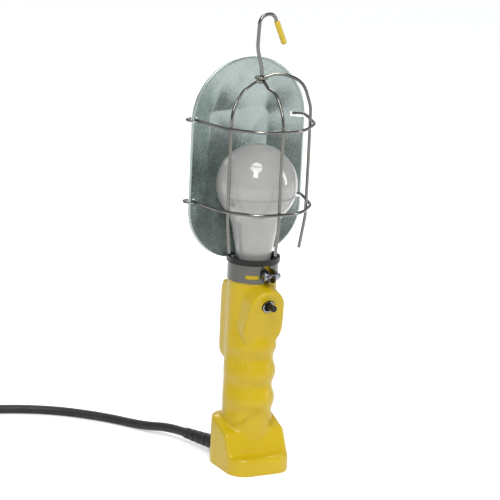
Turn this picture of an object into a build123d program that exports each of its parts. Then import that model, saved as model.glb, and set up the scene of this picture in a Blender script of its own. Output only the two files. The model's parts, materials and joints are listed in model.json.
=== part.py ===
from build123d import *
from math import cos, degrees, radians, sin, sqrt, tan
import os

# Caged work light with a moulded handle: a trouble light on a flared foot, with a pressed
# reflector, a wire guard that swings open, a swivelling hang hook, a toggle switch,
# a grounded outlet in the back of the handle and a mains lead.
# Millimetres, +Z up, standing on its foot; the front (guard, switch, finger grips) faces -Y.

os.makedirs("parts", exist_ok=True)

# ---------------------------------------------------------------- driving dimensions
clearance = 0.3            # gap between pieces on different bodies
seat_gap = 0.1             # gap where a piece seats in another of the same body

# handle
handle_top = 174.5         # top of the neck
neck_radius = 20.0
neck_height = 18.0         # straight neck under the lampholder ring
wall = 2.4                 # moulded wall
grip_radius = 20.4
grip_ridge = 24.5          # front reach of the grip at a ridge
ridge_pitch = 23.5
ridge_first = 59.0         # height of the lowest ridge
ridge_count = 3
ridge_roll = 25.0          # radius of a ridge seen from the side
ridge_half_width = 18.8

# foot
foot_half_width = 27.5
foot_front = 37.5
foot_back = 21.5
foot_corner = 16.0
foot_back_height = 41.0
foot_toe_height = 15.0

# outlet housing on the back of the handle
housing_half_width = 17.0
housing_back = 28.0
housing_low = 96.0
housing_high = 148.0
outlet_width = 27.0
outlet_height = 34.0
outlet_depth = 11.0

# switch boss on the front of the handle
boss_height = 130.3        # height of the middle of its face
boss_reach = 27.0          # distance of that point in front of the axis
boss_tilt = 15.0           # the top of the face leans forward
boss_upper_radius = 17.7
boss_lower_radius = 15.5
boss_spread = 21.0         # distance between the two end circles
toggle_offset = 12.4        # toggle above the middle of the face
toggle_radius = 2.7
toggle_length = 10.5       # lever outside the face
toggle_throw = 16.0        # each side of the face's normal
bushing_radius = 5.0

# lampholder and bulb
ring_radius = 22.0
ring_thickness = 4.2
holder_height = 42.0
ring_screw_x = 18.2
ring_screw_radius = 1.2
ring_pad_radius = 2.4
ring_pad_bottom = 163.5
bulb_radius = 33.35
bulb_centre = 238.0
bulb_neck_radius = 14.4
glass_wall = 1.0
cap_radius = 13.0
cap_height = 24.0
cap_bottom = 137.5
shell_wall = 0.7

# clamp band
band_bottom = 159.2
band_height = 14.5
band_sheet = 0.9
ear_reach = 9.0
ear_gap = 5.0
ear_x = 0.0                # left ear's inner face
clamp_screw_radius = 2.0

# reflector
sheet = 0.8
rim_half_width = 50.5
rim_top = 338.9
rim_bottom = 174.3
rim_low_corner = 41.0
rim_y = 22.6               # plane of the rim, behind the bulb's axis
bead_radius = 1.2
dish_depth = 18.0
panel_half_width = 27.0
panel_top = 293.0
panel_bottom = 226.0
panel_corner = 6.0
tab_half_width = 11.0

# guard
wire_radius = 1.3
upper_hoop = 289.5
lower_hoop = 221.9
hoop_front = 43.4
hoop_side = 46.0
side_wire_x = 35.5
side_wire_front = 20.0
wire_foot = 187.0          # lower ends of the upright wires
wire_tuck = 3.5            # they bend in by this much
eye_radius = 3.2           # hinge eyes round the left rim bead
hub_height = 326.0         # eyelet that carries the hook
hub_radius = 5.5
hub_thickness = 2.4

# hook
hook_wire_radius = 1.5
hook_top = 378.6
hook_head_radius = 3.2
sleeve_radius = 2.3
sleeve_length = 21.0

# mains lead
cord_diameter = 7.7
relief_length = 42.0
relief_root_radius = 6.3
relief_tip_radius = 4.7
exit_x = -12.0
exit_z = 9.5
exit_turn = 20.0           # the relief points this far to the left of straight back
coil_turns_across = 5
coil_turns_high = 4
coil_mean_radius = 60.0
coil_centre = (-266.0, 119.0)


# ---------------------------------------------------------------- helpers
def save(shape, node):
    """Write one node; a group of separate solids stays a group."""
    solids = shape.solids()
    result = solids[0] if len(solids) == 1 else Compound(children=list(solids))
    export_step(result, f"parts/{node}.step")


def tube(path, radius, bore=0.0):
    """Round bar or tube along a path."""
    plane = Plane(origin=path @ 0, z_dir=path % 0)
    section = plane * Circle(radius)
    if bore:
        section -= plane * Circle(bore)
    return sweep(section, path=path)


def bend_radii(points, share=0.45, largest=1e9):
    """Largest tangent arc for each corner of a polyline."""
    radii = []
    for before, here, after in zip(points, points[1:], points[2:]):
        a, b, c = Vector(*before), Vector(*here), Vector(*after)
        turn = radians((b - a).get_angle(c - b))
        run = min((b - a).length, (c - b).length)
        radii.append(min(share * run / tan(turn / 2), largest))
    return radii


def bent_path(points, share=0.45, largest=1e9):
    """Straight runs joined by tangent arcs."""
    return FilletPolyline(*points, radius=bend_radii(points, share, largest))


def between(shape, low, high):
    """The part of a shape between two corners."""
    size = [b - a for a, b in zip(low, high)]
    middle = [(a + b) / 2 for a, b in zip(low, high)]
    return shape & (Pos(*middle) * Box(*size))


def block(low, high):
    size = [b - a for a, b in zip(low, high)]
    middle = [(a + b) / 2 for a, b in zip(low, high)]
    return Pos(*middle) * Box(*size)


def post(x, y, z_low, z_high, radius):
    """Upright cylinder between two heights."""
    return Pos(x, y, (z_low + z_high) / 2) * Cylinder(radius, z_high - z_low)


def rod(centre, direction, radius, length):
    """Cylinder that starts at a point and runs along a direction."""
    return extrude(Plane(origin=centre, z_dir=direction) * Circle(radius), amount=length)


# ---------------------------------------------------------------- switch frame
tilt = radians(boss_tilt)
face_normal = Vector(0, -cos(tilt), -sin(tilt))
face_up = Vector(0, -sin(tilt), cos(tilt))
face_middle = Vector(0, -boss_reach, boss_height)
toggle_seat = face_middle + face_up * toggle_offset
pivot_depth = 2.0
toggle_pivot = toggle_seat - face_normal * pivot_depth

# the face plane's own Y points down the handle when its Z faces forward, so it is turned over
face_frame = Plane(origin=face_middle, x_dir=(-1, 0, 0), z_dir=face_normal)


def boss_outline(inset=0.0):
    """Egg-shaped face of the switch boss, wider at the top."""
    top = Pos(0, boss_spread / 2) * Circle(boss_upper_radius - inset)
    low = Pos(0, -boss_spread / 2) * Circle(boss_lower_radius - inset)
    return make_hull(top.edges() + low.edges())


# ---------------------------------------------------------------- handle
def finger_ridge(z):
    """Rounded ridge between two fingers: a roll across the grip with a round plan."""
    upright = Pos(0, ridge_half_width - grip_ridge, z) * Cylinder(ridge_half_width, 2 * ridge_roll)
    roll = Pos(0, ridge_roll - grip_ridge, z) * Rot(0, 90, 0) * Cylinder(ridge_roll, 4 * ridge_half_width)
    return upright & roll


def grip_column():
    """Grip from the foot to the neck, with its finger ridges."""
    column = post(0, 0, wall, handle_top - neck_height - 2.0, grip_radius)
    for index in range(ridge_count):
        column += finger_ridge(ridge_first + index * ridge_pitch)
    return column


def foot_block():
    """Foot: tall round the back of the grip, with a low toe in front."""
    plan = RectangleRounded(2 * foot_half_width, foot_front + foot_back, foot_corner)
    plan = Pos(0, (foot_back - foot_front) / 2) * plan
    body = extrude(plan, amount=foot_back_height)
    toe_edge = -foot_front + 12.5
    scoop_top = -foot_front + 21.0
    side = Plane.YZ * Polygon(
        (-foot_front - 5, foot_toe_height), (toe_edge, foot_toe_height),
        (scoop_top, foot_back_height - 9.0), (foot_back - 14.0, foot_back_height + 0.1),
        (-foot_front - 5, foot_back_height + 0.1), align=None)
    body -= extrude(side, amount=foot_half_width + 5, both=True)
    toe = body.edges().filter_by(lambda e: abs(e.center().Z - foot_toe_height) < 0.2
                                 and e.center().Y < toe_edge - 1.0)
    return fillet(toe, 2.5)


def outlet_housing():
    """Box on the back of the handle that holds the outlet."""
    slope = 7.0
    side = Plane.YZ * Polygon(
        (0, housing_low - slope), (grip_radius - 3, housing_low - slope), (housing_back, housing_low),
        (housing_back, housing_high - slope), (grip_radius - 1, housing_high + slope),
        (0, housing_high + slope), align=None)
    box = extrude(side, amount=housing_half_width, both=True)
    upright = box.edges().filter_by(Axis.Z).filter_by(lambda e: e.center().Y > grip_radius)
    return fillet(upright, 8.0)


def switch_boss():
    """Boss with the egg-shaped face that carries the toggle switch."""
    depth = boss_reach + 4.0
    body = extrude(face_frame * boss_outline(), amount=-depth)
    return chamfer(body.faces().sort_by(Axis((0, 0, 0), tuple(face_normal)))[-1].edges(), 1.2)


def handle_solid():
    """Whole outside of the handle, before it is hollowed and split."""
    body = grip_column() + foot_block() + outlet_housing() + switch_boss()
    band_seat = post(0, 0, band_bottom - seat_gap, handle_top + 10, 3 * neck_radius)
    neck = post(0, 0, band_bottom - 8.0, handle_top, neck_radius)
    return body - band_seat + neck


holder_radius = neck_radius - wall - seat_gap
outlet_middle = (housing_low + housing_high - 7.0) / 2


def handle_hollows():
    """Inside of the handle: the grip bore, the foot, the switch well and the outlet well."""
    bore = post(0, 0, wall + 2, handle_top + 1, neck_radius - wall)
    foot_plan = RectangleRounded(2 * (foot_half_width - wall), foot_front + foot_back - 2 * wall,
                                 foot_corner - wall)
    foot_plan = Pos(0, (foot_back - foot_front) / 2) * foot_plan
    foot = extrude(Plane.XY.offset(wall) * foot_plan, amount=foot_toe_height - 2 * wall)
    switch_well = extrude(face_frame.offset(-wall) * boss_outline(wall), amount=-(boss_reach - 13.0))
    hole = rod(toggle_seat - face_normal * (wall + 1), face_normal, bushing_radius + seat_gap,
               wall + 2)
    outlet_well = block(
        (-outlet_width / 2 - seat_gap, 8, outlet_middle - outlet_height / 2 - seat_gap),
        (outlet_width / 2 + seat_gap, housing_back + 1,
         outlet_middle + outlet_height / 2 + seat_gap))
    return [bore, foot, switch_well, hole, outlet_well]


foot_screw_x = 21.5
foot_screw_z = 8.5
screw_places = [(-foot_screw_x, foot_screw_z), (foot_screw_x, foot_screw_z), (0.0, 50.0), (0.0, 84.0)]
screw_radius = 1.6
screw_head_radius = 3.2
pillar_radius = 4.0


def in_foot(z):
    return z < foot_toe_height


def screw_back(z):
    """How far back the handle's surface is at a screw."""
    corner_reach = sqrt(foot_corner ** 2 - (foot_screw_x - foot_half_width + foot_corner) ** 2)
    return foot_back - foot_corner + corner_reach if in_foot(z) else grip_radius


def screw_pillars():
    """Pillars inside the handle that the case screws go into."""
    pillars = []
    for x, z in screw_places:
        start = -(foot_front - foot_corner) if in_foot(z) else -grip_radius + 1.0
        pillars.append(rod((x, start, z), (0, 1, 0), pillar_radius, screw_back(z) - 1.0 - start))
    return pillars


def handle_screws():
    """Four case screws, driven from the back."""
    screws = []
    for x, z in screw_places:
        back = screw_back(z) - 1.0
        head = rod((x, back - 2.2, z), (0, 1, 0), screw_head_radius, 2.2)
        shank = rod((x, -9.0, z), (0, 1, 0), screw_radius, back - 2.2 + 9.0)
        drive = block((x - 2.0, back - 0.9, z - 0.45), (x + 2.0, back + 1, z + 0.45)) + \
            block((x - 0.45, back - 0.9, z - 2.0), (x + 0.45, back + 1, z + 2.0))
        screws.append(head + shank - drive)
    return screws


def relief_frame():
    """Where the mains lead leaves the foot, and in which direction."""
    turn = radians(exit_turn)
    direction = Vector(-sin(turn), cos(turn), 0)
    return Vector(exit_x, foot_back, exit_z), direction


def ring_pads():
    """Pads inside the neck for the ring's screws."""
    pads = [post(side * ring_screw_x, 0, ring_pad_bottom, handle_top, ring_pad_radius) for side in (-1, 1)]
    pads = [pad & post(0, 0, 0, handle_top, neck_radius) for pad in pads]
    drills = [post(side * ring_screw_x, 0, ring_pad_bottom + 2, handle_top + 1, ring_screw_radius)
              for side in (-1, 1)]
    return pads, drills


def handle_shells():
    """Front and back shells, split through the axis."""
    whole = handle_solid()
    pads, drills = ring_pads()
    exit_point, direction = relief_frame()
    shanks = [rod((x, -9.5, z), (0, 1, 0), screw_radius, 60) for x, z in screw_places]
    heads = [rod((x, screw_back(z) - 3.2, z), (0, 1, 0), screw_head_radius + seat_gap, 20)
             for x, z in screw_places]
    exit_hole = rod(exit_point - direction * 12, direction, relief_root_radius, 40)
    big = 400.0
    front_half = ((-big, -big, -1), (big, 0, handle_top))
    back_half = ((-big, 0, -1), (big, big, handle_top))
    shells = []
    for half, cuts in ((front_half, drills + shanks), (back_half, drills + shanks + heads + [exit_hole])):
        shell = between(whole, *half)
        for hollow in handle_hollows():
            shell -= hollow
        for piece in screw_pillars() + pads:
            shell += between(piece, *half)
        for cut in cuts:
            shell -= cut
        shells.append(shell)
    return shells


# ---------------------------------------------------------------- lampholder and bulb
holder_bottom = handle_top - holder_height
shell_radius = cap_radius + clearance + shell_wall
shell_top = cap_bottom + cap_height - 1.0
holder_waist_radius = shell_radius + 1.4


def lampholder_body():
    """Moulded socket body that sits in the neck."""
    body = post(0, 0, holder_bottom, handle_top, holder_waist_radius)
    body += post(0, 0, ring_pad_bottom, handle_top, holder_radius)
    body -= post(0, 0, cap_bottom - 2.0, handle_top + 1, shell_radius + seat_gap)
    body -= post(0, 0, shell_top + 1.0, handle_top + 1, bulb_neck_radius + 0.9)
    for side in (-1, 1):
        body -= post(side * ring_screw_x, 0, ring_pad_bottom - 1, handle_top + 1, ring_pad_radius + seat_gap)
    return body


def lampholder_ring():
    """Ring over the neck, with side lugs and a flat at the back for the reflector's tab."""
    ring = post(0, 0, handle_top, handle_top + ring_thickness, ring_radius)
    flat = ring_radius - 5.5
    ring -= block((-30, flat, handle_top - 1), (30, 40, handle_top + ring_thickness + 1))
    ring -= post(0, 0, handle_top - 1, handle_top + ring_thickness + 1, bulb_neck_radius + 2.2)
    recess = post(0, 0, handle_top + 2.6, handle_top + ring_thickness + 1, ring_radius - 2.2)
    lugs = block((-ring_radius - 1, -4.5, handle_top), (ring_radius + 1, 4.5, handle_top + ring_thickness))
    rim = ring - recess
    kept = (ring & lugs)
    ring = rim + kept
    for side in (-1, 1):
        ring -= post(side * ring_screw_x, 0, handle_top - 1, handle_top + ring_thickness + 1,
                     ring_screw_radius)
    return ring


def ring_screws():
    """Two screws that hold the ring and the socket to the neck."""
    screws = []
    for side in (-1, 1):
        x = side * ring_screw_x
        top = handle_top + ring_thickness
        shank = post(x, 0, ring_pad_bottom + 2, top, ring_screw_radius)
        head = post(x, 0, top, top + 1.2, ring_screw_radius + 0.9)
        slot = block((x - 3, -0.35, top + 0.5), (x + 3, 0.35, top + 2))
        screws.append(shank + head - slot)
    return screws


def screw_shell():
    """Threaded brass shell of the socket."""
    outside = post(0, 0, cap_bottom - 1.0, shell_top, shell_radius)
    return outside - post(0, 0, cap_bottom - 2.0, cap_bottom + cap_height + 2.0, cap_radius + clearance)


def centre_contact():
    """Spring tongue under the bulb's tip."""
    leaf = block((-3, -9, cap_bottom - 2.0), (3, 6, cap_bottom - 1.2))
    button = post(0, 0, cap_bottom - 1.2, cap_bottom - 0.6, 2.5)
    return leaf + button


def bulb_profile(inset=0.0):
    """Half outline of the bulb's glass, from the cap to the crown."""
    ball = bulb_radius - inset
    neck = bulb_neck_radius - inset
    neck_top = cap_bottom + cap_height + 10.0
    join = radians(-42)
    with BuildSketch(Plane.XZ) as sketch:
        with BuildLine():
            shoulder = (ball * cos(join), bulb_centre + ball * sin(join))
            low = (neck, cap_bottom + cap_height + inset)
            Line((0, bulb_centre + ball), (0, low[1]))
            Line((0, low[1]), low)
            straight = Line(low, (neck, neck_top))
            Spline((neck, neck_top), (17.2 - inset, neck_top + 22.5), shoulder,
                   tangents=[(0, 1), (-sin(join), cos(join))])
            CenterArc((0, bulb_centre), ball, degrees(join), 90 - degrees(join))
        make_face()
    return sketch.sketch


def bulb_glass():
    """Pear-shaped glass envelope, open at the cap."""
    envelope = revolve(bulb_profile(), Axis.Z)
    inside = revolve(bulb_profile(glass_wall), Axis.Z)
    mouth = post(0, 0, cap_bottom + cap_height - 1, cap_bottom + cap_height + 3,
                 bulb_neck_radius - glass_wall)
    return envelope - inside - mouth


def bulb_cap():
    """Screw cap with rolled thread, hollow, with a step at its foot."""
    pitch = 3.63
    top = cap_bottom + cap_height
    cap = post(0, 0, cap_bottom + 4.0, top, cap_radius - 0.5)
    turn = cap_bottom + 6.5
    while turn < top - 3:
        cap += Pos(0, 0, turn) * Torus(cap_radius - 0.9, 0.9)
        turn += pitch
    cap -= post(0, 0, cap_bottom + 5.0, top + 1, cap_radius - 1.6)
    collar = post(0, 0, top - 1.5, top, bulb_neck_radius - glass_wall - 0.1)
    collar -= post(0, 0, top - 3, top + 1, cap_radius - 1.6)
    return cap + collar


def bulb_insulator():
    """Black glass cone under the cap."""
    cone = Pos(0, 0, cap_bottom + 2.4) * Cone(5.5, cap_radius - 1.2, 3.2)
    return cone - post(0, 0, cap_bottom, cap_bottom + 4.0, 3.0)


def bulb_tip():
    """Tip contact of the bulb."""
    return post(0, 0, cap_bottom + 0.2, cap_bottom + 3.6, 2.9)


def bulb_stem():
    """Glass stem that carries the filament."""
    foot = Pos(0, 0, 168.5) * Cone(9.0, 3.0, 10.0)
    stem = post(0, 0, 173.5, 209.5, 2.2)
    return foot + stem


def filament():
    """Two lead wires and the filament between them."""
    half = [(-2.9, 0, 175.5), (-2.9, 0, 201.5), (-13, 0, 229.5), (-8, 0, 234.5)]
    path = bent_path(half + [(-x, y, z) for x, y, z in reversed(half)], largest=6.0)
    return tube(path, 0.5)


# ---------------------------------------------------------------- clamp band
band_inner = neck_radius + 0.05
band_outer = band_inner + band_sheet
band_middle = band_bottom + band_height / 2
ear_screw_y = -(band_outer + ear_reach / 2)


def clamp_band():
    """Sheet band round the neck, split at the front, with an ear each side of the split."""
    ring = post(0, 0, band_bottom, band_bottom + band_height, band_outer)
    ring -= post(0, 0, band_bottom - 1, band_bottom + band_height + 1, band_inner)
    ring -= block((ear_x, -40, band_bottom - 1), (ear_x + ear_gap, 0, band_bottom + band_height + 1))
    reach = -(band_outer + ear_reach)
    for low in (ear_x - band_sheet, ear_x + ear_gap):
        ear = block((low, reach, band_bottom + 1.5),
                    (low + band_sheet, -band_inner - 0.1, band_bottom + band_height - 1.5))
        ring += fillet(ear.edges().filter_by(Axis.X).filter_by(lambda e: e.center().Y < reach + 1), 4.0)
    ring -= rod((ear_x - 6, ear_screw_y, band_middle), (1, 0, 0), clamp_screw_radius + seat_gap,
                ear_gap + 12)
    slot = extrude(Plane.XZ * Pos(-9.5, band_middle - 2.0) * SlotOverall(11.0, 3.8), amount=40)
    return ring - slot


def clamp_screw():
    """Pan-head clamp screw through both ears."""
    left = ear_x - band_sheet
    head = rod((left - 2.6, ear_screw_y, band_middle), (1, 0, 0), 4.0, 2.6)
    head = fillet(head.edges().sort_by(Axis.X)[0], 1.4)
    head -= block((left - 4, ear_screw_y - 0.5, band_middle - 5), (left - 1.6, ear_screw_y + 0.5,
                                                                  band_middle + 5))
    shank = rod((left, ear_screw_y, band_middle), (1, 0, 0), clamp_screw_radius,
                ear_gap + 2 * band_sheet + 5.5)
    return head + shank


def clamp_nut():
    """Hexagon nut on the clamp screw."""
    right = ear_x + ear_gap + band_sheet
    face = Plane(origin=(right, ear_screw_y, band_middle), z_dir=(1, 0, 0))
    return extrude(face * (RegularPolygon(4.0, 6) - Circle(clamp_screw_radius)), amount=3.2)


# ---------------------------------------------------------------- reflector
arch_centre = rim_top - rim_half_width


def rim_outline(grow=0.0):
    """Front outline: half round top, straight sides, big corners at the bottom; eight edges."""
    w = rim_half_width + grow
    corner = rim_low_corner + grow
    bottom = rim_bottom - grow
    split = radians(62)
    with BuildLine() as line:
        CenterArc((0, arch_centre), w, 0, degrees(split))
        CenterArc((0, arch_centre), w, degrees(split), 180 - 2 * degrees(split))
        CenterArc((0, arch_centre), w, 180 - degrees(split), degrees(split))
        Line((-w, arch_centre), (-w, bottom + corner))
        CenterArc((-w + corner, bottom + corner), corner, 180, 90)
        Line((-w + corner, bottom), (w - corner, bottom))
        CenterArc((w - corner, bottom + corner), corner, 270, 90)
        Line((w, bottom + corner), (w, arch_centre))
    return line.line


def panel_outline(grow=0.0):
    """Outline of the flat back panel, edge for edge like the rim."""
    w = panel_half_width + grow
    top = panel_top + grow
    bottom = panel_bottom - grow
    c = panel_corner
    with BuildLine() as line:
        CenterArc((w - c, top - c), c, 0, 90)
        Line((w - c, top), (-w + c, top))
        CenterArc((-w + c, top - c), c, 90, 90)
        Line((-w, top - c), (-w, bottom + c))
        CenterArc((-w + c, bottom + c), c, 180, 90)
        Line((-w + c, bottom), (w - c, bottom))
        CenterArc((w - c, bottom + c), c, 270, 90)
        Line((w, bottom + c), (w, top - c))
    return line.line


# the reflector's outlines are drawn seen from the front: x to the right, y up
def seen_from_front(y):
    return Plane(origin=(0, y, 0), x_dir=(1, 0, 0), z_dir=(0, -1, 0))


def dish(grow, front, back):
    """Solid between a rim outline and a back-panel outline."""
    rim = make_face(seen_from_front(front) * rim_outline(grow))
    panel = make_face(seen_from_front(back) * panel_outline(grow))
    return loft([rim, panel], ruled=True)


eye_heights = (lower_hoop, upper_hoop)


def reflector():
    """Pressed sheet dish with a beaded rim, hinge slots, latch notches and a mounting tab."""
    back = rim_y + dish_depth
    skin = dish(0.0, rim_y, back) - dish(-sheet, rim_y - 0.01, back - sheet)
    bead_plane = seen_from_front(rim_y)
    bead_path = bead_plane * Wire(rim_outline().edges())
    bead = tube(bead_path, bead_radius)
    body = skin + bead
    web = block((-tab_half_width, band_outer - 1.5, rim_bottom - 0.4),
                (tab_half_width, rim_y + 1.5, rim_bottom + 0.4))
    tab = post(0, 0, band_bottom + 0.5, rim_bottom + 0.4, band_outer + seat_gap + sheet)
    tab -= post(0, 0, band_bottom, rim_bottom + 1, band_outer + seat_gap)
    tab = between(tab, (-tab_half_width, 0, 0), (tab_half_width, 60, 400))
    web -= post(0, 0, rim_bottom - 1, rim_bottom + 1, band_outer + seat_gap)
    body += web + tab
    slot_half = wire_radius + 0.7
    for z in eye_heights:
        body -= block((-rim_half_width + bead_radius, rim_y - 2, z - slot_half),
                      (-rim_half_width + eye_radius + wire_radius + 1.0, rim_y + 9, z + slot_half))
        body -= block((-rim_half_width - 3, rim_y + bead_radius, z - slot_half),
                      (-rim_half_width + 4, rim_y + eye_radius + wire_radius + 1.0, z + slot_half))
        body -= block((rim_half_width - 9, rim_y - 3, z - slot_half),
                      (rim_half_width + 3, rim_y + 7, z + slot_half))
    return body


def reflector_rivets():
    """Two rivets that join the reflector's tab to the band."""
    rivets = []
    for side in (-1, 1):
        angle = radians(90 + side * 15)
        out = Vector(cos(angle), sin(angle), 0)
        base = Vector(0, 0, band_middle) + out * (band_outer + seat_gap + sheet)
        rivets.append(fillet(rod(base, out, 2.2, 1.2).edges().sort_by(
            Axis((0, 0, 0), tuple(out)))[-1], 0.8))
    return rivets


# ---------------------------------------------------------------- guard
def hoop(z, side):
    """Hoop round the front: an eye on the left rim bead, a catch end in the right notch."""
    bead_x = -rim_half_width
    points = [
        (bead_x + eye_radius, rim_y, z), (-side, rim_y - 14.0, z), (-side + 1.0, 8.0, z),
        (-side + 6.0, -19.0, z), (-18.0, -hoop_front, z), (18.0, -hoop_front, z),
        (side - 5.0, -19.0, z), (side + 3.5, 8.0, z), (rim_half_width + 2.2, rim_y - 2.0, z),
        (rim_half_width + 1.0, rim_y + 4.0, z), (rim_half_width - 6.0, rim_y + 4.2, z)]
    wire = tube(bent_path(points, largest=30.0), wire_radius)
    eye = Pos(bead_x, rim_y, z) * Torus(eye_radius, wire_radius)
    return wire + eye


def upright(points):
    """One upright guard wire with a rounded lower end."""
    return tube(bent_path(points, largest=26.0), wire_radius)


inside_hoop = 2 * wire_radius - 0.1


def guard_arch():
    """Side wires and the arch over the top in one length, with the hook's eyelet in the middle."""
    x, y = side_wire_x, -side_wire_front
    points = [
        (-x + wire_tuck, y + wire_tuck / 2, wire_foot), (-x, y, lower_hoop - 8.0), (-x - 0.3, y, 260.0),
        (-x, y, 305.0), (-x * 0.62, y * 0.62, 319.0), (-2.0, -1.0, hub_height - 1.0),
        (x * 0.33, y * 0.33, hub_height + 5.0), (x * 0.83, y * 0.83, 325.0), (x, y, 304.0),
        (x + 0.3, y, 260.0), (x, y, lower_hoop - 8.0), (x - wire_tuck, y + wire_tuck / 2, wire_foot)]
    wire = upright(points)
    wire -= post(0, 0, hub_height - 6, hub_height + 6, hook_wire_radius + 1.2)
    wire -= post(0, 0, hub_height - 8, hub_height - hub_thickness / 2, hook_head_radius + clearance)
    eyelet = post(0, 0, hub_height - hub_thickness / 2, hub_height + hub_thickness / 2, hub_radius)
    wire += fillet(eyelet.edges(), 0.6)
    return wire - post(0, 0, hub_height - 6, hub_height + 6, hook_wire_radius + clearance)


def centre_wire():
    """Middle wire, bent back over the top and brazed under the eyelet."""
    y = -(hoop_front - inside_hoop)
    return upright([
        (0, y + wire_tuck, wire_foot), (0, y, lower_hoop - 8.0), (0, y + 0.2, 260.0), (0, y, 301.0),
        (0, y * 0.63, 317.5), (0, y * 0.3, 319.0),
        (0, -hub_radius + 1.5, hub_height - hub_thickness / 2 - wire_radius + 0.2)])


# ---------------------------------------------------------------- hook
head_top = hub_height - hub_thickness / 2 - clearance
hook_points = [(0, 0, head_top - 1.0), (0, 0, hub_height + 7.0), (-4.8, 0, 350.0),
               (-3.8, 0, hook_top - 3.3), (8.2, 0, hook_top), (18.9, 0, hook_top - 24.8)]


def hook_wire():
    """Bent hook with a stem through the eyelet."""
    return tube(bent_path(hook_points, largest=26.0), hook_wire_radius)


def hook_head():
    """Upset head that keeps the hook in the eyelet."""
    head = Pos(0, 0, head_top - 1.6) * Cylinder(hook_head_radius, 3.2)
    head = fillet(head.edges(), 1.0)
    return head - post(0, 0, head_top - 1.0, head_top + 1, hook_wire_radius)


def hook_sleeve():
    """Vinyl sleeve on the tip of the hook, closed and rounded."""
    tip = Vector(*hook_points[-1])
    back = (Vector(*hook_points[-2]) - tip).normalized()
    end = tip - back * 1.6
    run = min(sleeve_length, (Vector(*hook_points[-2]) - tip).length * 0.97)
    skin = rod(end, back, sleeve_radius, run)
    skin = fillet(skin.edges().sort_by(Axis.Z)[0], sleeve_radius - 0.3)
    return skin - rod(tip, back, hook_wire_radius, run)


# ---------------------------------------------------------------- toggle switch
def on_face(u, v, depth):
    """Point on the switch face: right, up along the face, and in along the normal."""
    return face_middle + Vector(u, 0, 0) + face_up * v - face_normal * depth


def face_box(u, v_low, v_high, near, far):
    """Box behind the switch face."""
    middle = on_face(0, (v_low + v_high) / 2, (near + far) / 2)
    plane = Plane(origin=middle, x_dir=(1, 0, 0), z_dir=face_normal)
    return plane * Box(2 * u, v_high - v_low, far - near)


switch_half_width = 6.5
switch_low = toggle_offset - 12.0
switch_high = toggle_offset + 6.5
switch_near = wall + 1.6
switch_far = wall + 8.0


def switch_body():
    """Shallow case of the toggle switch, in front of the socket."""
    case = face_box(switch_half_width, switch_low, switch_high, switch_near, switch_far)
    case -= rod(toggle_seat - face_normal * (switch_far - 1.2), face_normal, toggle_radius + 1.6, 8.0)
    return case


def switch_bushing():
    """Bushing through the face, with a flat ring outside it."""
    stem = rod(toggle_seat - face_normal * (wall + 1.6), face_normal, bushing_radius, wall + 1.6)
    ring = rod(toggle_seat, face_normal, bushing_radius, 0.5)
    hole = rod(toggle_seat - face_normal * (wall + 2), face_normal, toggle_radius + 1.25, wall + 4)
    return stem + ring - hole


def toggle_lever():
    """Round bat lever, resting at the upper end of its throw."""
    lift = radians(toggle_throw)
    direction = face_normal * cos(lift) + face_up * sin(lift)
    ball = Pos(*toggle_pivot) * Sphere(toggle_radius + 0.55)
    reach = pivot_depth / cos(lift) + toggle_length
    bat = rod(toggle_pivot, direction, toggle_radius, reach)
    bat = fillet(bat.edges().sort_by(Axis((0, 0, 0), tuple(direction)))[-1], 1.2)
    tail = rod(toggle_pivot, -direction, 1.3, 4.4)
    return ball + bat + tail


def switch_terminals():
    """Two tab terminals at the lower end of the switch."""
    tabs = []
    middle = (switch_near + switch_far) / 2
    for side in (-1, 1):
        place = on_face(side * 3.2, switch_low - 2.5, middle)
        tabs.append(Plane(origin=place, x_dir=(1, 0, 0), z_dir=face_normal) * Box(3.0, 5.0, 0.8))
    return tabs


# ---------------------------------------------------------------- outlet
blade_spacing = 12.7
blade_slot = (2.2, 7.6)
ground_hole_radius = 2.6
outlet_front = housing_back - 1.0


def outlet_cuts(depth):
    """The three openings of a grounded outlet."""
    z = outlet_middle + 3.0
    cuts = []
    for side in (-1, 1):
        cuts.append(block((side * blade_spacing / 2 - blade_slot[0] / 2, outlet_front - depth,
                           z - blade_slot[1] / 2),
                          (side * blade_spacing / 2 + blade_slot[0] / 2, outlet_front + 1,
                           z + blade_slot[1] / 2)))
    cuts.append(rod((0, outlet_front - depth, z - 11.9), (0, 1, 0), ground_hole_radius, depth + 1))
    return cuts


def outlet_body():
    """Moulded outlet with three openings."""
    half = outlet_width / 2
    low = outlet_middle - outlet_height / 2
    high = outlet_middle + outlet_height / 2
    body = block((-half, outlet_front - outlet_depth, low), (half, outlet_front, high))
    body = chamfer(body.faces().sort_by(Axis.Y)[-1].edges(), 0.8)
    for cut in outlet_cuts(outlet_depth - 4.0):
        body -= cut
    return body


def outlet_contact(index):
    """Spring contact at the bottom of one opening."""
    z = outlet_middle + 3.0
    deep = outlet_front - outlet_depth + 4.0
    if index == 2:
        clip = rod((0, deep, z - 11.9), (0, 1, 0), ground_hole_radius - seat_gap, 3.0)
        return clip
    x = (-1, 1)[index] * blade_spacing / 2
    return block((x - blade_slot[0] / 2 + seat_gap, deep, z - blade_slot[1] / 2 + seat_gap),
                 (x + blade_slot[0] / 2 - seat_gap, deep + 3.0, z + blade_slot[1] / 2 - seat_gap))


# ---------------------------------------------------------------- wiring inside the handle
conductor_radius = 1.3


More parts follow.
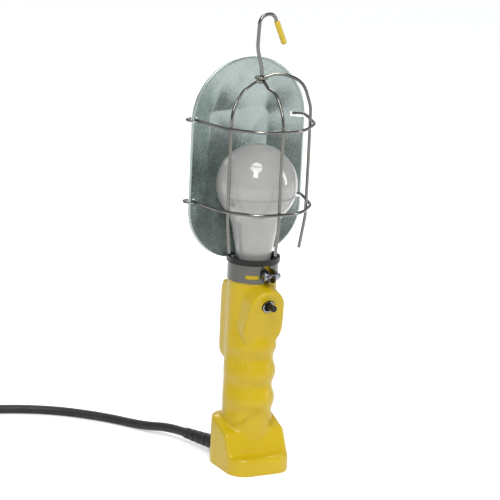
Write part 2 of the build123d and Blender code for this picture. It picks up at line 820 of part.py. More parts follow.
def conductors():
    """Hot, neutral and ground wires from the lead to the switch, socket and outlet."""
    hot = tube(bent_path([(-9.5, 11, 14), (-10.5, 3, 30), (-11, -2, 60), (-10, -3, 95), (-8, -1, 112)],
                         largest=12), conductor_radius)
    neutral = tube(bent_path([(-5.5, 11, 14), (-7, 6, 34), (-7.5, 5, 64), (-9, 5, 95), (-12, 3, 127)],
                             largest=12), conductor_radius)
    ground = tube(bent_path([(-1.5, 12, 14), (7, 7, 34), (8, 6, 64), (7.5, 6, 92)],
                            largest=12), conductor_radius)
    return hot, neutral, ground


def cord_clip():
    """Saddle that holds the jacket inside the foot."""
    return block((-12, 9, wall), (2, 13.5, 12.0)) - block((-10.5, 8, 12.6 - 0.01), (1, 15, 16))


# ---------------------------------------------------------------- mains lead
def strain_relief():
    """Tapered rubber relief with ribs, seated in the back of the foot."""
    start, direction = relief_frame()
    root = rod(start - direction * 6.0, direction, relief_root_radius - seat_gap, 6.0)
    steps = 6
    body = root
    step = relief_length / steps
    for index in range(steps):
        share = index / (steps - 1)
        radius = relief_root_radius + (relief_tip_radius - relief_root_radius) * share
        body += rod(start + direction * step * index, direction, radius, step * 0.62)
        body += rod(start + direction * step * index, direction, radius - 0.7, step)
    return body


relief_end = relief_frame()[0] + relief_frame()[1] * relief_length
floor_z = cord_diameter / 2 + 0.05
coil_width = coil_turns_across * cord_diameter
coil_height = coil_turns_high * cord_diameter
coil_outer = coil_mean_radius + coil_width / 2
coil_inner = coil_mean_radius - coil_width / 2

# route of the lead from the relief to the coil, chosen by hand
lead_straight = relief_end + relief_frame()[1] * 18.0
cord_route = [
    (relief_end.X, relief_end.Y, relief_end.Z), (lead_straight.X, lead_straight.Y, exit_z),
    (-44.5, 103.0, floor_z),
    (-67.0, 138.0, floor_z), (-103.0, 172.0, floor_z), (-150.0, 191.0, floor_z),
    (-201.0, 197.5, floor_z), (-266.0, 194.4, floor_z)]


def cord_tube():
    """Lead from the relief to the coil."""
    return tube(bent_path(cord_route), cord_diameter / 2)


def cord_coil():
    """Outer shape of the coil of put-away lead."""
    x, y = coil_centre
    ring = post(x, y, 0, coil_height, coil_outer) - post(x, y, -1, coil_height + 1, coil_inner)
    edges = ring.edges().filter_by(GeomType.CIRCLE)
    return fillet(edges, cord_diameter / 2)


# route of the end from the coil's top turn up onto the coil, chosen by hand
plug_route = [
    (-195.1, 93.2, 26.95), (-192.3, 112.6, 30.0), (-198.0, 131.0, 34.9), (-210.8, 147.1, 37.0),
    (-225.7, 159.3, 37.6)]
plug_length = 30.0
plug_neck = 16.0
plug_start = Vector(*plug_route[-1])
plug_heading = plug_start - Vector(*plug_route[-2])
plug_direction = Vector(plug_heading.X, plug_heading.Y, 0).normalized()


def cord_tail():
    """Short end of the lead from the coil to the plug."""
    return tube(bent_path(plug_route), cord_diameter / 2)


def plug_place(along, across, up):
    side = plug_direction.cross(Vector(0, 0, 1))
    return plug_start + plug_direction * along + side * across + Vector(0, 0, up)


def plug_box(along, half_across, low, high):
    middle = plug_place((along[0] + along[1]) / 2, 0, (low + high) / 2)
    plane = Plane(origin=middle, x_dir=plug_direction, z_dir=(0, 0, 1))
    return plane * Box(along[1] - along[0], 2 * half_across, high - low)


def plug_body():
    """Moulded plug with a tapered neck."""
    plane = Plane(origin=plug_start, z_dir=plug_direction)
    neck = loft([plane * Circle(cord_diameter / 2 + 0.9), plane.offset(plug_neck) * Circle(6.5)])
    body = plug_box((plug_neck, plug_neck + plug_length), 12.0, -6.4, 14.0)
    return fillet(body.edges(), 3.0) + neck


def plug_pin(kind):
    """Blades and ground pin of a grounded plug."""
    start = plug_neck + plug_length
    if kind == "ground":
        plane = Plane(origin=plug_place(start, 0, 10.5), z_dir=plug_direction)
        pin = extrude(plane * Circle(2.4), amount=20.0)
        return fillet(pin.edges().sort_by(Axis((0, 0, 0), tuple(plug_direction)))[-1], 1.4)
    across = {"hot": 6.35, "neutral": -6.35}[kind]
    middle = plug_place(start + 8.5, across, 1.6)
    plane = Plane(origin=middle, x_dir=plug_direction, z_dir=(0, 0, 1))
    return plane * Box(17.0, 1.5, 6.4)


def cord_tie():
    """Strap round the coil's turns."""
    x, y = coil_centre
    angle = radians(200)
    out = Vector(cos(angle), sin(angle), 0)
    place = Vector(x, y, coil_height / 2) + out * coil_mean_radius
    plane = Plane(origin=place, x_dir=out, z_dir=Vector(0, 0, 1).cross(out))
    outside = plane * RectangleRounded(coil_width + 3.0, coil_height, 4.5)
    inside = plane * RectangleRounded(coil_width + 0.6, coil_height - 2.4, 3.5)
    return extrude(outside - inside, amount=7.0, both=True)


# ---------------------------------------------------------------- all nodes
def main():
    front, back = handle_shells()
    hot, neutral, ground = conductors()
    nodes = {
        "handle_front_shell": front,
        "handle_back_shell": back,
        "handle_screws": Compound(children=handle_screws()),
        "lampholder_body": lampholder_body(),
        "lampholder_ring": lampholder_ring(),
        "ring_screws": Compound(children=ring_screws()),
        "socket_screw_shell": screw_shell(),
        "socket_centre_contact": centre_contact(),
        "bulb_glass": bulb_glass(),
        "bulb_cap": bulb_cap(),
        "bulb_insulator": bulb_insulator(),
        "bulb_tip_contact": bulb_tip(),
        "bulb_stem": bulb_stem(),
        "bulb_filament": filament(),
        "clamp_band": clamp_band(),
        "clamp_screw": clamp_screw(),
        "clamp_nut": clamp_nut(),
        "reflector": reflector(),
        "reflector_rivets": Compound(children=reflector_rivets()),
        "guard_upper_hoop": hoop(upper_hoop, hoop_side),
        "guard_lower_hoop": hoop(lower_hoop, hoop_side),
        "guard_side_arch": guard_arch(),
        "guard_centre_wire": centre_wire(),
        "hook_wire": hook_wire(),
        "hook_head": hook_head(),
        "hook_sleeve": hook_sleeve(),
        "switch_body": switch_body(),
        "switch_bushing": switch_bushing(),
        "switch_terminals": Compound(children=switch_terminals()),
        "toggle_lever": toggle_lever(),
        "outlet_body": outlet_body(),
        "outlet_contact_hot": outlet_contact(0),
        "outlet_contact_neutral": outlet_contact(1),
        "outlet_contact_ground": outlet_contact(2),
        "wire_hot": hot,
        "wire_neutral": neutral,
        "wire_ground": ground,
        "cord_clip": cord_clip(),
        "strain_relief": strain_relief(),
        "cord_tube": cord_tube(),
        "cord_coil": cord_coil(),
        "cord_tail": cord_tail(),
        "cord_tie": cord_tie(),
        "plug_body": plug_body(),
        "plug_blade_hot": plug_pin("hot"),
        "plug_blade_neutral": plug_pin("neutral"),
        "plug_ground_pin": plug_pin("ground"),
    }
    for node, shape in nodes.items():
        save(shape, node)


if __name__ == "__main__":
    main()
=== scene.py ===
"""Looks of the caged work light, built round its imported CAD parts. Metres, +Z up, front to -Y."""

import json
from math import cos, pi, radians, sin

import bmesh
import bpy
import numpy as np
from mathutils import Matrix, Quaternion, Vector


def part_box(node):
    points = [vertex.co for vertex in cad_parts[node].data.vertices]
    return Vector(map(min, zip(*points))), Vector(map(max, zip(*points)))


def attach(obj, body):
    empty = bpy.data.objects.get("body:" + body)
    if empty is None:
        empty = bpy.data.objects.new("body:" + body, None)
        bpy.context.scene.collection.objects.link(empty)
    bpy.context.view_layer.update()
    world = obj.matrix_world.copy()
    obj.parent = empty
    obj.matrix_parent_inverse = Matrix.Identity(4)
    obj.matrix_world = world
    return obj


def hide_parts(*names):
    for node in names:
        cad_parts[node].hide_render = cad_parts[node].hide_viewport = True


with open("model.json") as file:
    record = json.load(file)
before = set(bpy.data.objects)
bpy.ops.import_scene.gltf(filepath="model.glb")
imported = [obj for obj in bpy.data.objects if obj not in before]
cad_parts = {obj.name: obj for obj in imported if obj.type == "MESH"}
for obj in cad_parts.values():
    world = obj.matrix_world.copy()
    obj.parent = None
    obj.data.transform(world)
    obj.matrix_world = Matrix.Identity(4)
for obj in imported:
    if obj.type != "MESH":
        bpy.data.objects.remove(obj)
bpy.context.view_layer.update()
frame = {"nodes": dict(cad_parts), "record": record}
nodes = frame["nodes"]
slot_of = {part["node"]: part["material_slot"] for part in frame["record"]["subparts"]}
MM = 0.001


# ---------------------------------------------------------------- materials
def new_material(name, colour, roughness, metallic=0.0, **settings):
    """Principled material; other settings are given by socket name with _ for spaces."""
    made = bpy.data.materials.new(name)
    made.use_nodes = True
    shader = made.node_tree.nodes["Principled BSDF"]
    shader.inputs["Base Color"].default_value = (*colour, 1.0)
    shader.inputs["Roughness"].default_value = roughness
    shader.inputs["Metallic"].default_value = metallic
    for key, value in settings.items():
        shader.inputs[key.replace("_", " ")].default_value = value
    return made


def add_node(made, kind, **values):
    """Node with its settings and input values."""
    node = made.node_tree.nodes.new(kind)
    for key, value in values.items():
        if key in node.inputs:
            node.inputs[key].default_value = value
        else:
            setattr(node, key, value)
    return node


def link(made, start, end):
    made.node_tree.links.new(start, end)


def noise(made, scale, detail=4.0, stretch=(1, 1, 1), roughness=0.55, distortion=0.0):
    """Value of a noise over the object, scale in cells per metre."""
    place = add_node(made, "ShaderNodeTexCoord")
    mapping = add_node(made, "ShaderNodeMapping")
    mapping.inputs["Scale"].default_value = stretch
    texture = add_node(made, "ShaderNodeTexNoise", Scale=scale, Detail=detail, Roughness=roughness,
                       Distortion=distortion)
    link(made, place.outputs["Object"], mapping.inputs["Vector"])
    link(made, mapping.outputs["Vector"], texture.inputs["Vector"])
    return texture.outputs["Fac"]


def ramp(made, value, stops):
    """Colour ramp; stops are (position, colour)."""
    node = add_node(made, "ShaderNodeValToRGB")
    elements = node.color_ramp.elements
    while len(elements) < len(stops):
        elements.new(0.5)
    for element, (position, colour) in zip(elements, stops):
        element.position = position
        element.color = (*colour, 1.0)
    link(made, value, node.inputs["Fac"])
    return node.outputs["Color"]


def spread(made, value, low, high, start=0.3, end=0.7):
    """Map a noise onto a range."""
    node = add_node(made, "ShaderNodeMapRange")
    for name, number in (("From Min", start), ("From Max", end), ("To Min", low), ("To Max", high)):
        node.inputs[name].default_value = number
    link(made, value, node.inputs["Value"])
    return node.outputs["Result"]


def shader_input(made, name):
    return made.node_tree.nodes["Principled BSDF"].inputs[name]


def colour_from(made, value, stops):
    link(made, ramp(made, value, stops), shader_input(made, "Base Color"))


def roughness_from(made, value, low, high):
    link(made, spread(made, value, low, high), shader_input(made, "Roughness"))


def bump_from(made, values):
    """Stacked bumps; values are (height source, strength, distance in metres)."""
    normal = None
    for value, strength, distance in values:
        node = add_node(made, "ShaderNodeBump", Strength=strength, Distance=distance)
        link(made, value, node.inputs["Height"])
        if normal:
            link(made, normal, node.inputs["Normal"])
        normal = node.outputs["Normal"]
    link(made, normal, shader_input(made, "Normal"))


def shade(colour, share):
    return tuple(channel * share for channel in colour)


def moulded_plastic(name, colour, roughness, grain=1.0):
    """Moulded plastic: faint flow marks, fine grain, handling marks in the gloss."""
    made = new_material(name, colour, roughness, Specular_IOR_Level=0.4)
    flow = noise(made, 18.0, 3.0, (1, 1, 0.35))
    colour_from(made, flow, [(0.3, shade(colour, 0.93)), (0.7, shade(colour, 1.05))])
    marks = noise(made, 260.0, 5.0, (1, 1, 0.5))
    roughness_from(made, marks, roughness * 0.85, roughness * 1.3)
    bump_from(made, [(noise(made, 90.0, 2.0), 0.10 * grain, 0.0004),
                     (noise(made, 1300.0, 1.0), 0.10 * grain, 0.00003)])
    return made


def plated_metal(name, colour, roughness, stains=0.12, grain=0.15, stretch=(1, 1, 1)):
    """Plated metal: cloudy tarnish, varied gloss and slight waviness."""
    made = new_material(name, colour, roughness, 1.0)
    clouds = noise(made, 60.0, 6.0, stretch)
    colour_from(made, clouds, [(0.32, shade(colour, 1 - stains)), (0.68, shade(colour, 1 + stains / 2))])
    roughness_from(made, noise(made, 400.0, 5.0, stretch), roughness * 0.7, roughness * 1.5)
    bump_from(made, [(noise(made, 120.0, 3.0), grain, 0.0003),
                     (noise(made, 1200.0, 2.0, stretch), grain * 0.5, 0.00003)])
    return made


def zinc_sheet():
    """Soft zinc plating: grey-green mottling in two sizes over a dull shine."""
    made = new_material("reflector_zinc", (0.16, 0.2, 0.18), 0.34, 0.85)
    broad = noise(made, 24.0, 3.0, distortion=0.6)
    fine = noise(made, 150.0, 4.0, roughness=0.6)
    mixed = add_node(made, "ShaderNodeMix", data_type="FLOAT")
    mixed.inputs["Factor"].default_value = 0.35
    link(made, broad, mixed.inputs["A"])
    link(made, fine, mixed.inputs["B"])
    colour_from(made, mixed.outputs["Result"], [
        (0.34, (0.330, 0.395, 0.375)), (0.47, (0.390, 0.455, 0.435)), (0.56, (0.430, 0.495, 0.475)),
        (0.68, (0.490, 0.550, 0.530))])
    roughness_from(made, fine, 0.20, 0.34)
    bump_from(made, [(broad, 0.05, 0.0008), (fine, 0.04, 0.0001)])
    return made


def opal_glass():
    """White-coated bulb: glossy glass over a soft diffuse white."""
    colour = (0.37, 0.362, 0.345)
    made = new_material("opal_glass", colour, 0.10, 0.0, Subsurface_Weight=0.15, Subsurface_Scale=0.004,
                        Coat_Weight=0.6, Coat_Roughness=0.03)
    shader_input(made, "Subsurface Radius").default_value = (1.0, 0.9, 0.7)
    coat = noise(made, 35.0, 4.0)
    colour_from(made, coat, [(0.35, shade(colour, 0.96)), (0.65, shade(colour, 1.03))])
    roughness_from(made, noise(made, 180.0, 4.0), 0.07, 0.15)
    bump_from(made, [(noise(made, 22.0, 1.0), 0.04, 0.0008)])
    return made


def clear_glass():
    made = new_material("clear_glass", (0.93, 0.95, 0.95), 0.04, 0.0, Transmission_Weight=1.0, IOR=1.5)
    bump_from(made, [(noise(made, 150.0, 2.0), 0.1, 0.0002)])
    return made


def black_rubber(name, colour, roughness):
    """Soft rubber jacket: dull, with faint dust and a slight skin texture."""
    made = new_material(name, colour, roughness, Specular_IOR_Level=0.4)
    dust = noise(made, 45.0, 5.0)
    colour_from(made, dust, [(0.4, colour), (0.75, shade(colour, 1.9))])
    roughness_from(made, noise(made, 300.0, 4.0), roughness * 0.85, min(roughness * 1.25, 1.0))
    bump_from(made, [(noise(made, 700.0, 3.0), 0.12, 0.00015)])
    return made


materials = {
    "yellow_plastic": moulded_plastic("yellow_plastic", (0.530, 0.370, 0.004), 0.30, 1.2),
    "black_plastic": moulded_plastic("black_plastic", (0.005, 0.006, 0.004), 0.36),
    "black_rubber": black_rubber("black_rubber", (0.012, 0.012, 0.013), 0.50),
    "reflector_zinc": zinc_sheet(),
    # Guard, hook, band and fastener metals get base colours far darker than real plating: painted shade
    # standing in for the dark surroundings these shiny parts reflect
    "guard_nickel": plated_metal("guard_nickel", (0.20, 0.20, 0.18), 0.12),
    "hook_chrome": plated_metal("hook_chrome", (0.22, 0.22, 0.21), 0.12),
    "yellow_vinyl": moulded_plastic("yellow_vinyl", (0.57, 0.41, 0.03), 0.34),
    "band_steel": plated_metal("band_steel", (0.13, 0.13, 0.12), 0.20, 0.08, 0.08, (1, 1, 6)),
    "fastener_steel": plated_metal("fastener_steel", (0.30, 0.32, 0.36), 0.24),
    "opal_glass": opal_glass(),
    "clear_glass": clear_glass(),
    "cap_aluminium": plated_metal("cap_aluminium", (0.70, 0.70, 0.70), 0.3),
    "contact_brass": plated_metal("contact_brass", (0.72, 0.50, 0.20), 0.25),
    "filament_tungsten": plated_metal("filament_tungsten", (0.25, 0.25, 0.26), 0.4),
    "insulation_black": moulded_plastic("insulation_black", (0.015, 0.015, 0.015), 0.45),
    "insulation_white": moulded_plastic("insulation_white", (0.70, 0.70, 0.68), 0.45),
    "insulation_green": moulded_plastic("insulation_green", (0.03, 0.22, 0.05), 0.45),
}

for name, node in nodes.items():
    node.data.materials.clear()
    node.data.materials.append(materials[slot_of[name]])


# ---------------------------------------------------------------- helpers
def new_object(name, mesh, slot, body):
    """Object with its material, riding on a body."""
    piece = bpy.data.objects.new(name, mesh)
    bpy.context.scene.collection.objects.link(piece)
    mesh.materials.clear()
    mesh.materials.append(materials[slot])
    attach(piece, body)
    return piece


def smooth(mesh, angle=35.0):
    """Smooth shading that keeps edges sharper than the angle."""
    for face in mesh.polygons:
        face.use_smooth = True
    mesh.set_sharp_from_angle(angle=radians(angle))


def mesh_from(bm, name):
    """Mesh from a bmesh, which is freed."""
    mesh = bpy.data.meshes.new(name)
    bm.to_mesh(mesh)
    bm.free()
    return mesh


def loose(mesh):
    """Object for work in progress, on no body."""
    made = bpy.data.objects.new(mesh.name + "_loose", mesh)
    bpy.context.scene.collection.objects.link(made)
    return made


def mesh_of(piece):
    """Final mesh of an object, modifiers applied."""
    bpy.context.view_layer.update()
    graph = bpy.context.evaluated_depsgraph_get()
    return bpy.data.meshes.new_from_object(piece.evaluated_get(graph))


def joined_copy(names):
    """One loose object from copies of CAD nodes."""
    bm = bmesh.new()
    for name in names:
        bm.from_mesh(nodes[name].data)
    bmesh.ops.remove_doubles(bm, verts=bm.verts, dist=0.02 * MM)
    return loose(mesh_from(bm, "joined"))


def points_of(mesh):
    """Vertex places as rows of x, y and z."""
    points = np.empty(len(mesh.vertices) * 3)
    mesh.vertices.foreach_get("co", points)
    return points.reshape(-1, 3)


def move_points(mesh, points):
    mesh.vertices.foreach_set("co", points.ravel())
    mesh.update()


for node in nodes.values():
    smooth(node.data, 32.0)


# ---------------------------------------------------------------- handle
neck_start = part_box("clamp_band")[0].z
voxel = 0.8 * MM
sole_top = 0.6 * MM
foot_blend_low, grip_blend_high = 6 * MM, 104 * MM
face_front, face_low = -24.5 * MM, 110 * MM
parting_gap = 0.07 * MM

# finger waves: depth to each side of the wall, height of one crest, pitch, and where they fade in and out
wave_depth = 1.3 * MM
wave_crest = 59 * MM
wave_pitch = 23.5 * MM
wave_low, wave_low_fade = 40 * MM, 12 * MM
wave_high, wave_high_fade = 114 * MM, 10 * MM
wave_inside, wave_inside_fade = 14 * MM, 3 * MM


def relax(mesh, weights, rounds):
    """Laplacian smoothing with a weight for each vertex."""
    points = points_of(mesh)
    count = len(points)
    ends = np.empty(len(mesh.edges) * 2, dtype=np.int64)
    mesh.edges.foreach_get("vertices", ends)
    a, b = ends.reshape(-1, 2).T
    degree = np.maximum(np.bincount(ends, minlength=count), 1)[:, None]
    for _ in range(rounds):
        total = np.stack([np.bincount(a, points[b, axis], count) + np.bincount(b, points[a, axis], count)
                          for axis in range(3)], axis=1)
        points += weights[:, None] * (total / degree - points)
    move_points(mesh, points)


def finger_waves(mesh):
    """Swell and pinch the front of the grip in the rhythm of the CAD ridges, fading out behind it."""
    points = points_of(mesh)
    x, y, z = points.T
    reach = np.maximum(np.hypot(x, y), 1 * MM)
    front = np.clip((0.6 - y / reach) / 1.2, 0, 1)
    span = np.clip((z - wave_low) / wave_low_fade, 0, 1) * np.clip((wave_high - z) / wave_high_fade, 0, 1)
    wall = np.clip((reach - wave_inside) / wave_inside_fade, 0, 1)
    swell = wave_depth * np.cos(2 * pi * (z - wave_crest) / wave_pitch) * front * span * wall
    points[:, 0] += swell * x / reach
    points[:, 1] += swell * y / reach
    move_points(mesh, points)


def half_of(mesh, side, name):
    """The half of a hollow mesh in front of (-1) or behind (1) the parting plane, closed again."""
    bm = bmesh.new()
    bm.from_mesh(mesh)
    geometry = bm.verts[:] + bm.edges[:] + bm.faces[:]
    cut = bmesh.ops.bisect_plane(bm, geom=geometry, plane_co=(0, side * parting_gap, 0),
                                 plane_no=(0, -side, 0), clear_outer=True, dist=1e-7)
    rim = [edge for edge in cut["geom_cut"] if isinstance(edge, bmesh.types.BMEdge)]
    bmesh.ops.triangle_fill(bm, edges=rim, use_beauty=False, use_dissolve=True)
    bmesh.ops.recalc_face_normals(bm, faces=bm.faces[:])
    return mesh_from(bm, name)


def build_handle():
    """Shells with moulded blends: the CAD shells remeshed as one, relaxed and split again."""
    whole = joined_copy(["handle_front_shell", "handle_back_shell"])
    remesh = whole.modifiers.new("remesh", "REMESH")
    remesh.mode = "VOXEL"
    remesh.voxel_size = voxel
    mesh = mesh_of(whole)
    bpy.data.objects.remove(whole)
    _, y, z = points_of(mesh).T
    weights = np.where(z > neck_start - 4 * MM, 0.08, 0.6)
    weights[z < sole_top] = 0.05
    weights[(y < face_front) & (z > face_low)] = 0.25
    moulded = (z > foot_blend_low) & (z < grip_blend_high)
    relax(mesh, np.where(moulded, 0.6, 0.0), 10)
    relax(mesh, weights, 14)
    finger_waves(mesh)
    for side, name in ((-1, "handle_front"), (1, "handle_back")):
        half = half_of(mesh, side, name)
        smooth(half, 50.0)
        piece = new_object(name, half, "yellow_plastic", "handle")
        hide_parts(name + "_shell")


build_handle()


# ---------------------------------------------------------------- reflector
reflector_low, reflector_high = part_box("reflector")
bead_radius = 1.2 * MM
rim_half = reflector_high.x - bead_radius
rim_y = reflector_low.y + bead_radius
rim_top = reflector_high.z - bead_radius
rim_bottom = 174.3 * MM
rim_corner = 41 * MM
dish_depth = 18 * MM
panel_half = 27 * MM
panel_top = 293 * MM
panel_bottom = 226 * MM
panel_corner = 6 * MM
sheet = 0.8 * MM
edge_steps = 14


def arc(centre, radius, start, sweep):
    """Points along an arc, without its last one."""
    angles = [radians(start + sweep * step / edge_steps) for step in range(edge_steps)]
    return [(centre[0] + radius * cos(a), centre[1] + radius * sin(a)) for a in angles]


def run(start, end):
    """Points along a straight line, without its last one."""
    return [(start[0] + (end[0] - start[0]) * step / edge_steps,
             start[1] + (end[1] - start[1]) * step / edge_steps) for step in range(edge_steps)]


def rim_points(inset=0.0):
    """Rim outline in x and z: round top, straight sides, big lower corners."""
    w, centre = rim_half - inset, rim_top - rim_half
    corner, bottom = rim_corner - inset, rim_bottom + inset
    return (arc((0, centre), w, 0, 62) + arc((0, centre), w, 62, 56) + arc((0, centre), w, 118, 62)
            + run((-w, centre), (-w, bottom + corner))
            + arc((-w + corner, bottom + corner), corner, 180, 90)
            + run((-w + corner, bottom), (w - corner, bottom))
            + arc((w - corner, bottom + corner), corner, 270, 90)
            + run((w, bottom + corner), (w, centre)))


def panel_points(inset=0.0):
    """Flat back panel's outline, edge for edge like the rim."""
    w, top, low = panel_half - inset, panel_top - inset, panel_bottom + inset
    c = max(panel_corner - inset, 0.5 * MM)
    return (arc((w - c, top - c), c, 0, 90) + run((w - c, top), (-w + c, top))
            + arc((-w + c, top - c), c, 90, 90) + run((-w, top - c), (-w, low + c))
            + arc((-w + c, low + c), c, 180, 90) + run((-w + c, low), (w - c, low))
            + arc((w - c, low + c), c, 270, 90) + run((w, low + c), (w, top - c)))


def ring_mesh(name, rings):
    """Mesh from closed rings of equal length, with its last ring filled."""
    bm = bmesh.new()
    rows = [[bm.verts.new(point) for point in ring] for ring in rings]
    count = len(rows[0])
    for row, following in zip(rows, rows[1:]):
        for i in range(count):
            bm.faces.new((row[i], row[(i + 1) % count], following[(i + 1) % count], following[i]))
    bm.faces.new(rows[-1])
    bmesh.ops.recalc_face_normals(bm, faces=bm.faces[:])
    return mesh_from(bm, name)


def dish_rings():
    """Rings of the pressed sheet from the rim to the middle of the back panel."""
    rim, panel = rim_points(0.3 * MM), panel_points()
    rings = []
    for share in (0.0, 0.03, 0.25, 0.5, 0.75, 0.93, 0.985):
        y = rim_y + dish_depth * share
        rings.append([(a[0] + (b[0] - a[0]) * share, y, a[1] + (b[1] - a[1]) * share)
                      for a, b in zip(rim, panel)])
    back = rim_y + dish_depth
    middle = (panel_top + panel_bottom) / 2
    for inset, lift in ((0.8, 0.05), (3.0, 0.0)):
        rings.append([(x, back - lift * MM, z) for x, z in panel_points(inset * MM)])
    last = panel_points(3.0 * MM)
    for share in (0.75, 0.45, 0.15):
        rings.append([(x * share, back + 1.2 * MM * (1 - share ** 2), middle + (z - middle) * share)
                      for x, z in last])
    return rings


def cutter(low, high):
    """Loose box used to cut a slot."""
    bm = bmesh.new()
    bmesh.ops.create_cube(bm, size=1.0)
    size = Vector(high) - Vector(low)
    bmesh.ops.transform(bm, verts=bm.verts[:], matrix=Matrix.Diagonal((*size, 1.0)))
    bmesh.ops.translate(bm, verts=bm.verts[:], vec=(Vector(low) + Vector(high)) / 2)
    return loose(mesh_from(bm, "cutter"))


def cut_slots(piece, boxes):
    """Cut boxes out of a loose object and return its final mesh."""
    cutters = [cutter(low, high) for low, high in boxes]
    for made in cutters:
        boolean = piece.modifiers.new("slot", "BOOLEAN")
        boolean.operation = "DIFFERENCE"
        boolean.solver = "EXACT"
        boolean.object = made
    mesh = mesh_of(piece)
    for made in cutters:
        bpy.data.objects.remove(made)
    bpy.data.objects.remove(piece)
    return mesh


def tube_mesh(name, points, radius):
    """Round tube along a closed run of points."""
    curve = bpy.data.curves.new(name, "CURVE")
    curve.dimensions = "3D"
    spline = curve.splines.new("POLY")
    spline.points.add(len(points) - 1)
    for place, point in zip(spline.points, points):
        place.co = (*point, 1.0)
    spline.use_cyclic_u = True
    curve.bevel_depth = radius
    curve.bevel_resolution = 4
    holder = bpy.data.objects.new(name, curve)
    bpy.context.scene.collection.objects.link(holder)
    mesh = mesh_of(holder)
    bpy.data.objects.remove(holder)
    return mesh


def middle_height(node):
    low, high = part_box(node)
    return (low.z + high.z) / 2


hoop_heights = [middle_height(node) for node in ("guard_lower_hoop", "guard_upper_hoop")]
slot_half = 2 * MM


def hinge_slots():
    """Openings for the guard's eyes on the left of the dish, two boxes for each eye."""
    boxes = []
    for z in hoop_heights:
        low, high = z - slot_half, z + slot_half
        boxes.append(((-rim_half + bead_radius, rim_y - 2 * MM, low),
                      (-rim_half + 5.5 * MM, rim_y + 9 * MM, high)))
        boxes.append(((-rim_half - 3 * MM, rim_y + bead_radius, low),
                      (-rim_half + 4 * MM, rim_y + 5.5 * MM, high)))
    return boxes


def catch_slots():
    """Notches in the right rim that the guard's ends snap into."""
    return [((rim_half - 9 * MM, rim_y - 3 * MM, z - slot_half),
             (rim_half + 3 * MM, rim_y + 7 * MM, z + slot_half)) for z in hoop_heights]


def strap_mesh():
    """Strap bent down from the bottom of the dish, curved round the band; rows are (y, z, curl)."""
    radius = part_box("clamp_band")[1].y + 0.1 * MM + sheet / 2
    foot = neck_start + 0.5 * MM
    half = 11 * MM
    rows = [(rim_y + 1.0 * MM, rim_bottom + 1.2 * MM, 0.0), (rim_y + 0.2 * MM, rim_bottom + 0.1 * MM, 0.0),
            (radius + 0.9 * MM, rim_bottom - 0.6 * MM, 0.5), (radius + 0.2 * MM, rim_bottom - 1.4 * MM, 0.9),
            (radius, rim_bottom - 3.0 * MM, 1.0), (radius, foot + 1.0 * MM, 1.0), (radius, foot, 1.0)]
    columns = 15
    bm = bmesh.new()
    grid = []
    for y, z, curl in rows:
        line = []
        for i in range(columns):
            x = half * (2 * i / (columns - 1) - 1)
            sag = radius - (radius ** 2 - x ** 2) ** 0.5
            line.append(bm.verts.new((x, y - sag * curl, z)))
        grid.append(line)
    for row, following in zip(grid, grid[1:]):
        for i in range(columns - 1):
            bm.faces.new((row[i], row[i + 1], following[i + 1], following[i]))
    holder = loose(mesh_from(bm, "strap"))
    thick = holder.modifiers.new("thick", "SOLIDIFY")
    thick.thickness = sheet
    thick.offset = 0.0
    edge = holder.modifiers.new("edge", "BEVEL")
    edge.width = 0.2 * MM
    edge.segments = 2
    made = mesh_of(holder)
    bpy.data.objects.remove(holder)
    return made


def build_reflector():
    """Pressed dish, rolled rim and the strap that runs down into the clamp band."""
    shell = loose(ring_mesh("dish", dish_rings()))
    rounding = shell.modifiers.new("rounding", "SUBSURF")
    rounding.levels = rounding.render_levels = 1
    thick = shell.modifiers.new("thick", "SOLIDIFY")
    thick.thickness = sheet
    thick.offset = -1.0
    dish = cut_slots(shell, hinge_slots() + catch_slots())
    dish.name = "reflector_dish"
    smooth(dish, 38.0)
    piece = new_object("reflector_dish", dish, "reflector_zinc", "handle")
    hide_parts("reflector")
    outline = [(x, rim_y, z) for x, z in rim_points()]
    bead = cut_slots(loose(tube_mesh("rim_bead", outline, bead_radius)), catch_slots())
    smooth(bead, 50.0)
    new_object("reflector_rim", bead, "reflector_zinc", "handle")
    strap = strap_mesh()
    smooth(strap, 40.0)
    new_object("reflector_strap", strap, "reflector_zinc", "handle")


build_reflector()


# ---------------------------------------------------------------- mains lead
cord_diameter = 7.7 * MM
coil_centre = Vector((-266.0, 119.0, 0)) * MM
coil_radius = 60 * MM
turns_across = 5
turns_high = 4
turn_steps = 24

# control points in millimetres: from the strain relief to the coil, and from the coil up to the plug
lead_route = [
    (-26.365, 60.967, 9.5), (-32.521, 77.882, 9.5), (-44.5, 103.0, 3.9), (-67.0, 138.0, 3.9),
    (-103.0, 172.0, 3.9), (-150.0, 191.0, 3.9), (-201.0, 197.5, 3.9), (-266.0, 194.4, 3.9)]
plug_route = [
    (-192.3, 112.6, 30.0), (-198.0, 131.0, 34.9), (-210.8, 147.1, 37.0), (-225.7, 159.3, 37.6)]
coil_start = 90.0
coil_end = 340.0
crossing_start = 0.70  # share of a turn after which the lead moves over to the next turn


def coil_turns():
    """Turns wound in layers, each layer from one side to the other, a diameter apart."""
    points = []
    # a curve lies inside its control points, so they stand out a little further than the turn
    stretch = 1 / cos(pi / turn_steps) ** 1.5
    total = 360.0 * (turns_across * turns_high - 1) + coil_end - coil_start
    step = 360.0 / turn_steps
    for index in range(1, int(total / step) + 1):
        turned = index * step / 360.0
        whole = int(turned)
        share = min(max((turned - whole - crossing_start) / (1 - crossing_start), 0.0), 1.0)
        blend = share * share * (3 - 2 * share)
        here, following = coil_place(whole), coil_place(whole + 1)
        radius, height = (a + (b - a) * blend for a, b in zip(here, following))
        angle = radians(coil_start + index * step)
        reach = radius * stretch
        points.append(coil_centre + Vector((reach * cos(angle), reach * sin(angle), height)))
    return points


def coil_place(turn):
    """Radius and height of a whole turn."""
    turn = min(turn, turns_across * turns_high - 1)
    layer, across = divmod(turn, turns_across)
    if layer % 2:
        across = turns_across - 1 - across
    outer = coil_radius + (turns_across - 1) / 2 * cord_diameter
    return outer - across * cord_diameter, cord_diameter * (layer + 0.5) + 0.05 * MM


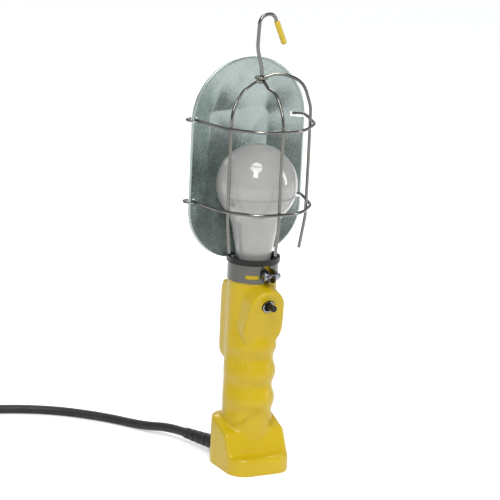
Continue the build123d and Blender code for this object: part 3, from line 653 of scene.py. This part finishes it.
def build_lead():
    """The whole lead as one smooth curve, from the strain relief through the coil up to the plug."""
    route = [Vector(point) * MM for point in lead_route]
    route += coil_turns()
    route += [Vector(point) * MM for point in plug_route]
    curve = bpy.data.curves.new("mains_lead", "CURVE")
    curve.dimensions = "3D"
    spline = curve.splines.new("NURBS")
    spline.points.add(len(route) - 1)
    for place, point in zip(spline.points, route):
        place.co = (*point, 1.0)
    spline.order_u = 3
    spline.use_endpoint_u = True
    spline.resolution_u = 6
    curve.bevel_depth = cord_diameter / 2
    curve.bevel_resolution = 4
    curve.use_fill_caps = True
    lead = bpy.data.objects.new("mains_lead", curve)
    bpy.context.scene.collection.objects.link(lead)
    curve.materials.append(materials["black_rubber"])
    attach(lead, "handle")
    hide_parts("cord_tube", "cord_coil", "cord_tail")


build_lead()


# ---------------------------------------------------------------- floor, light and camera
def build_floor():
    """Pale floor, wide enough for every view."""
    bm = bmesh.new()
    bmesh.ops.create_grid(bm, x_segments=8, y_segments=8, size=6.0)
    mesh = mesh_from(bm, "floor")
    floor = bpy.data.objects.new("floor", mesh)
    bpy.context.scene.collection.objects.link(floor)
    made = new_material("floor", (0.86, 0.86, 0.86), 0.7, Specular_IOR_Level=0.2,
                        Emission_Color=(1, 1, 1, 1), Emission_Strength=0.3)
    mesh.materials.append(made)


def area_light(name, place, size, power):
    """Rectangular soft light aimed at the middle of the object."""
    data = bpy.data.lights.new(name, "AREA")
    data.shape = "RECTANGLE"
    data.size, data.size_y = size
    data.energy = power
    lamp = bpy.data.objects.new(name, data)
    lamp.location = place
    lamp.rotation_euler = (Vector((0, 0, 0.2)) - Vector(place)).to_track_quat("-Z", "Y").to_euler()
    bpy.context.scene.collection.objects.link(lamp)


def build_light():
    """Bluish-white surroundings, a wide soft sun from the front left and three soft boxes."""
    world = bpy.data.worlds.new("studio")
    bpy.context.scene.world = world
    world.use_nodes = True
    background = world.node_tree.nodes["Background"]
    background.inputs["Color"].default_value = (0.93, 0.96, 1.0, 1.0)
    background.inputs["Strength"].default_value = 0.42
    sun = bpy.data.lights.new("sun", "SUN")
    sun.energy = 1.5
    sun.angle = radians(30.0)
    lamp = bpy.data.objects.new("sun", sun)
    lamp.rotation_euler = Vector((0.5, 0.8, -1.6)).to_track_quat("-Z", "Y").to_euler()
    bpy.context.scene.collection.objects.link(lamp)
    area_light("key", (-0.75, -1.2, 1.35), (0.35, 0.50), 9)
    area_light("fill", (1.4, -0.7, 0.7), (0.25, 0.9), 5)
    area_light("back", (0.5, 1.2, 1.2), (0.8, 0.5), 8)


def build_camera():
    """Camera from the front left, a little above the object and slightly rolled."""
    azimuth, elevation, roll = radians(-28.0), radians(13.94), radians(2.66)
    distance = 2.0
    aim = Vector((0, 0, 0.19))
    back = Vector((sin(azimuth) * cos(elevation), -cos(azimuth) * cos(elevation), sin(elevation)))
    data = bpy.data.cameras.new("camera")
    data.sensor_width = 36.0
    data.lens = 176.0
    data.shift_x = -0.008
    data.shift_y = -0.0174
    camera = bpy.data.objects.new("camera", data)
    camera.location = aim + back * distance
    camera.rotation_mode = "QUATERNION"
    camera.rotation_quaternion = (-back).to_track_quat("-Z", "Y") @ Quaternion((0, 0, 1), roll)
    bpy.context.scene.collection.objects.link(camera)
    bpy.context.scene.camera = camera


build_floor()
build_light()
build_camera()
bpy.context.scene.view_settings.view_transform = "Standard"
